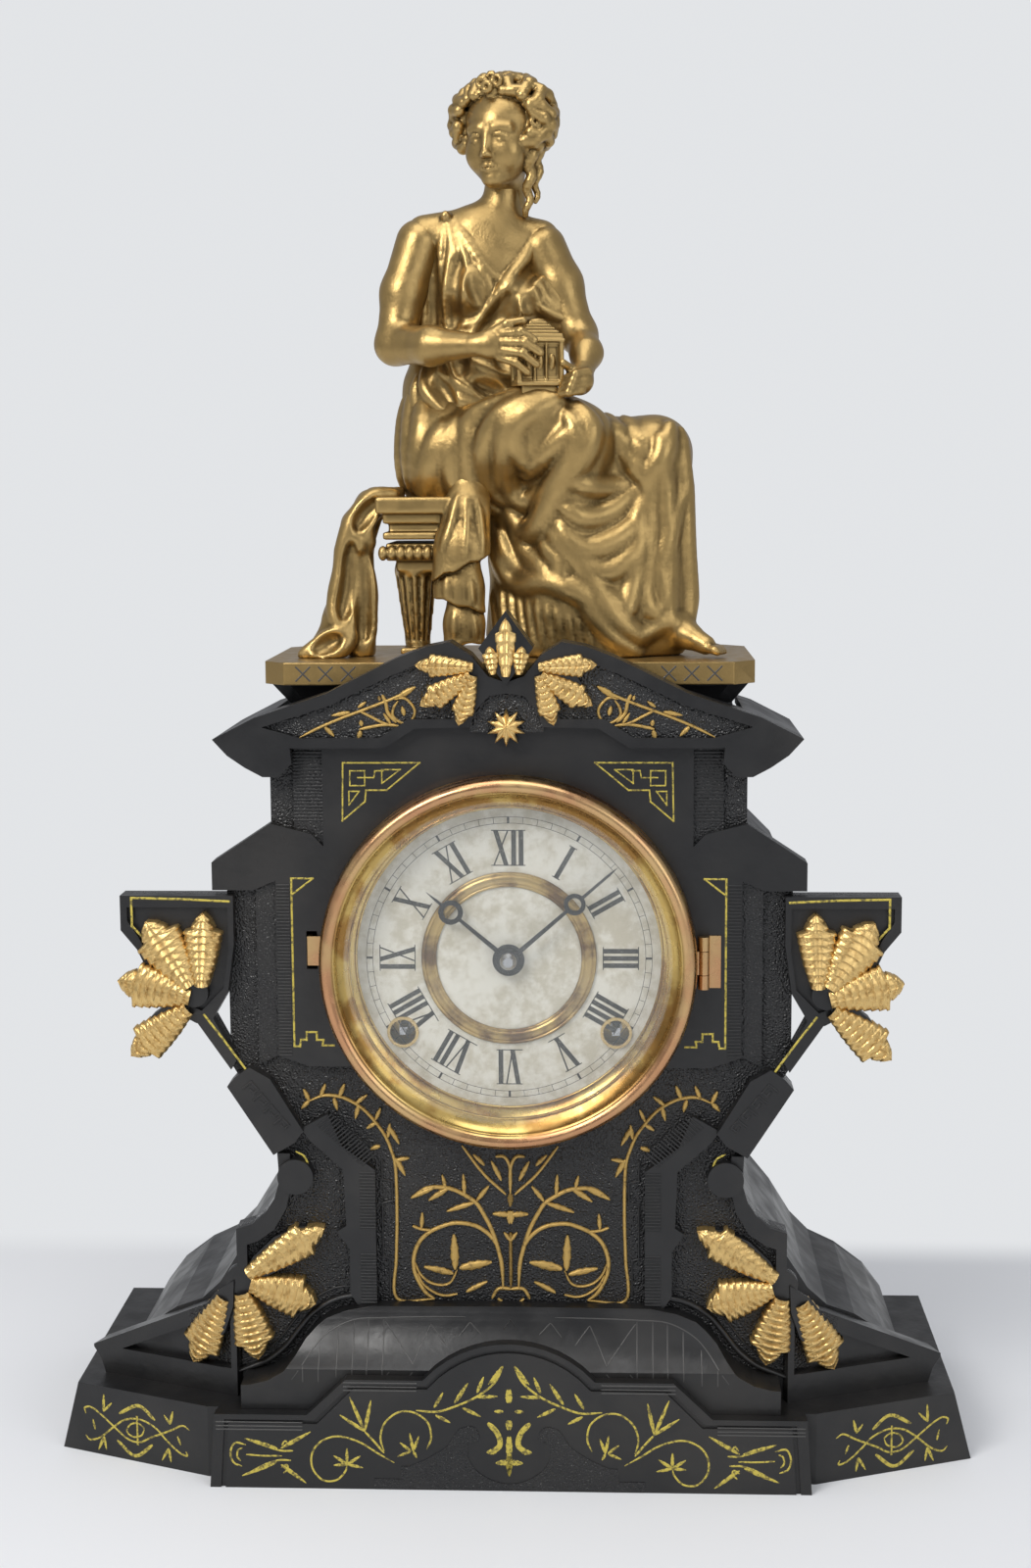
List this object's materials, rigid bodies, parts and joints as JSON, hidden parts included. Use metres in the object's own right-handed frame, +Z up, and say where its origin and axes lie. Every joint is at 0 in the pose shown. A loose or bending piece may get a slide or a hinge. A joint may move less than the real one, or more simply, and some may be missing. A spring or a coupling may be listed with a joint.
{
  "type": "figural mantel clock",
  "caption": "Waisted enamelled iron mantel clock on a winged base, with a hinged glazed bezel, a striking pendulum movement with a gong, and a seated draped figure on top",
  "frame": {"origin": "middle of the footprint, on the surface the clock stands on", "axes": "+X to the viewer's right, +Y to the back, +Z up"},
  "size_m": [0.418, 0.16, 0.6225],
  "materials": {
    "black_enamel": "satin black enamel over cast iron, with painted incised lines and gilt relief",
    "bronzed_spelter": "bronze-gold paint over cast spelter, darker in the folds",
    "polished_brass": "polished and lacquered",
    "plate_brass": "satin, rolled sheet and cut wheels",
    "steel": "turned and polished",
    "spring_steel": "tempered blue-grey",
    "blued_steel": "black-blue",
    "bevelled_glass": "clear, bevelled edge",
    "dial_paper": "cream, printed with black numerals",
    "raw_iron": "dark, unpainted"
  },
  "bodies": {
    "case": {"base_casting": "black_enamel", "hood_moulding": "black_enamel", "front_casting": "black_enamel", "ear_right": "black_enamel", "ear_left": "black_enamel", "pediment": "black_enamel", "case_body": "black_enamel", "back_plate": "black_enamel", "case_bolts": "steel", "plinth_slab": "bronzed_spelter", "plinth_cove": "black_enamel", "figure_studs": "steel", "bezel_hinge": "polished_brass", "dial_pan": "plate_brass", "dial_paper": "dial_paper", "dial_rings": "polished_brass", "winding_eyelets": "polished_brass", "front_movement_plate": "plate_brass", "rear_movement_plate": "plate_brass", "pillars": "steel", "movement_brackets": "steel", "time_mainspring": "spring_steel", "strike_mainspring": "spring_steel", "gong_coil": "spring_steel", "gong_stand": "raw_iron", "figure_skirt": "bronzed_spelter", "figure_torso": "bronzed_spelter", "figure_head": "bronzed_spelter", "right_arm": "bronzed_spelter", "left_arm": "bronzed_spelter", "casket": "bronzed_spelter", "stool": "bronzed_spelter", "stool_cloth": "bronzed_spelter"},
    "bezel_door": {"bezel": "polished_brass", "bezel_glass": "bevelled_glass", "bezel_fittings": "polished_brass"},
    "rear_door": {"back_door": "polished_brass"},
    "minute": {"minute_hand": "blued_steel", "minute_pipe": "plate_brass", "hand_nut": "polished_brass"},
    "hour": {"hour_hand": "blued_steel", "hour_wheel": "plate_brass"},
    "motion_wheel": {"minute_wheel": "plate_brass"},
    "time_great": {"time_great_wheel": "plate_brass"},
    "time_arbor": {"time_winding_arbor": "steel"},
    "time_pawl": {"time_click": "steel"},
    "second": {"second_wheel": "plate_brass"},
    "centre": {"centre_wheel": "plate_brass"},
    "third": {"third_wheel": "plate_brass"},
    "escape": {"escape_wheel": "plate_brass"},
    "anchor": {"pallets": "steel"},
    "pendulum": {"pendulum_rod": "steel", "pendulum_bob": "polished_brass"},
    "strike_great": {"strike_great_wheel": "plate_brass"},
    "strike_arbor": {"strike_winding_arbor": "steel"},
    "strike_pawl": {"strike_click": "steel"},
    "pin": {"pin_wheel": "plate_brass"},
    "warning": {"warning_wheel": "plate_brass"},
    "fly": {"strike_fly": "plate_brass"},
    "striker": {"hammer": "steel"}
  },
  "joints": [
    {"name": "bezel_door_hinge", "type": "hinge", "parent": "case", "child": "bezel_door", "pos_m": [0.0853, -0.0608, 0.235], "axis": [0, 0, 1], "range_deg": [0, 105]},
    {"name": "back_door_hinge", "type": "hinge", "parent": "case", "child": "rear_door", "pos_m": [-0.0639, 0.0669, 0.215], "axis": [0, 0, 1], "range_deg": [0, 110]},
    {"name": "minute_turn", "type": "hinge", "parent": "case", "child": "minute", "pos_m": [0, -0.05, 0.235], "axis": [0, 1, 0], "continuous": true},
    {"name": "hour_turn", "type": "hinge", "parent": "case", "child": "hour", "pos_m": [0, -0.05, 0.235], "axis": [0, 1, 0], "continuous": true},
    {"name": "minute_wheel_turn", "type": "hinge", "parent": "case", "child": "motion_wheel", "pos_m": [-0.01691, -0.045, 0.24116], "axis": [0, 1, 0], "continuous": true},
    {"name": "third_wheel_turn", "type": "hinge", "parent": "case", "child": "third", "pos_m": [-0.015, -0.02, 0.25244], "axis": [0, 1, 0], "continuous": true},
    {"name": "centre_wheel_turn", "type": "hinge", "parent": "case", "child": "centre", "pos_m": [0, -0.02, 0.235], "axis": [0, 1, 0], "continuous": true},
    {"name": "second_wheel_turn", "type": "hinge", "parent": "case", "child": "second", "pos_m": [0.0236, -0.02, 0.23064], "axis": [0, 1, 0], "continuous": true},
    {"name": "time_great_wheel_turn", "type": "hinge", "parent": "case", "child": "time_great", "pos_m": [0.0472, -0.02, 0.2015], "axis": [0, 1, 0], "continuous": true},
    {"name": "escape_wheel_turn", "type": "hinge", "parent": "case", "child": "escape", "pos_m": [0, -0.02, 0.2667], "axis": [0, 1, 0], "continuous": true},
    {"name": "time_winding_turn", "type": "hinge", "parent": "time_great", "child": "time_arbor", "pos_m": [0.0472, -0.02, 0.2015], "axis": [0, 1, 0], "continuous": true},
    {"name": "time_click_lift", "type": "hinge", "parent": "time_great", "child": "time_pawl", "pos_m": [0.0472, -0.0176, 0.2195], "axis": [0, -1, 0], "range_deg": [0, 15], "stiffness_Nm_per_rad": 0.0004, "springref_deg": -11.46},
    {"name": "pendulum_swing", "type": "hinge", "parent": "case", "child": "pendulum", "pos_m": [0, 0.003, 0.2865], "axis": [0, 1, 0], "range_deg": [-3, 3]},
    {"name": "pallets_rock", "type": "hinge", "parent": "case", "child": "anchor", "pos_m": [0, -0.02, 0.2865], "axis": [0, 1, 0], "range_deg": [-3, 3]},
    {"name": "warning_wheel_turn", "type": "hinge", "parent": "case", "child": "warning", "pos_m": [-0.04013, -0.02, 0.25644], "axis": [0, 1, 0], "continuous": true},
    {"name": "pin_wheel_turn", "type": "hinge", "parent": "case", "child": "pin", "pos_m": [-0.03749, -0.02, 0.23772], "axis": [0, 1, 0], "continuous": true},
    {"name": "strike_great_wheel_turn", "type": "hinge", "parent": "case", "child": "strike_great", "pos_m": [-0.0472, -0.02, 0.2015], "axis": [0, 1, 0], "continuous": true},
    {"name": "fly_turn", "type": "hinge", "parent": "case", "child": "fly", "pos_m": [-0.03818, -0.02, 0.2703], "axis": [0, 1, 0], "continuous": true},
    {"name": "strike_winding_turn", "type": "hinge", "parent": "strike_great", "child": "strike_arbor", "pos_m": [-0.0472, -0.02, 0.2015], "axis": [0, 1, 0], "continuous": true},
    {"name": "strike_click_lift", "type": "hinge", "parent": "strike_great", "child": "strike_pawl", "pos_m": [-0.0472, -0.0176, 0.2195], "axis": [0, -1, 0], "range_deg": [0, 15], "stiffness_Nm_per_rad": 0.0004, "springref_deg": -11.46},
    {"name": "hammer_swing", "type": "hinge", "parent": "case", "child": "striker", "pos_m": [-0.012, 0, 0.186], "axis": [0, 1, 0], "range_deg": [0, 10]}
  ],
  "couplings": [
    {"joint": "hour_turn", "follows": "minute_turn", "ratio": 0.083333},
    {"joint": "minute_wheel_turn", "follows": "minute_turn", "ratio": -0.33333},
    {"joint": "centre_wheel_turn", "follows": "third_wheel_turn", "ratio": -0.095238},
    {"joint": "second_wheel_turn", "follows": "third_wheel_turn", "ratio": 0.031746},
    {"joint": "time_great_wheel_turn", "follows": "third_wheel_turn", "ratio": -0.0079365},
    {"joint": "escape_wheel_turn", "follows": "third_wheel_turn", "ratio": -10.5},
    {"joint": "pallets_rock", "follows": "pendulum_swing", "ratio": 1},
    {"joint": "pin_wheel_turn", "follows": "warning_wheel_turn", "ratio": -0.16667},
    {"joint": "strike_great_wheel_turn", "follows": "warning_wheel_turn", "ratio": 0.041667},
    {"joint": "fly_turn", "follows": "warning_wheel_turn", "ratio": -6}
  ]
}
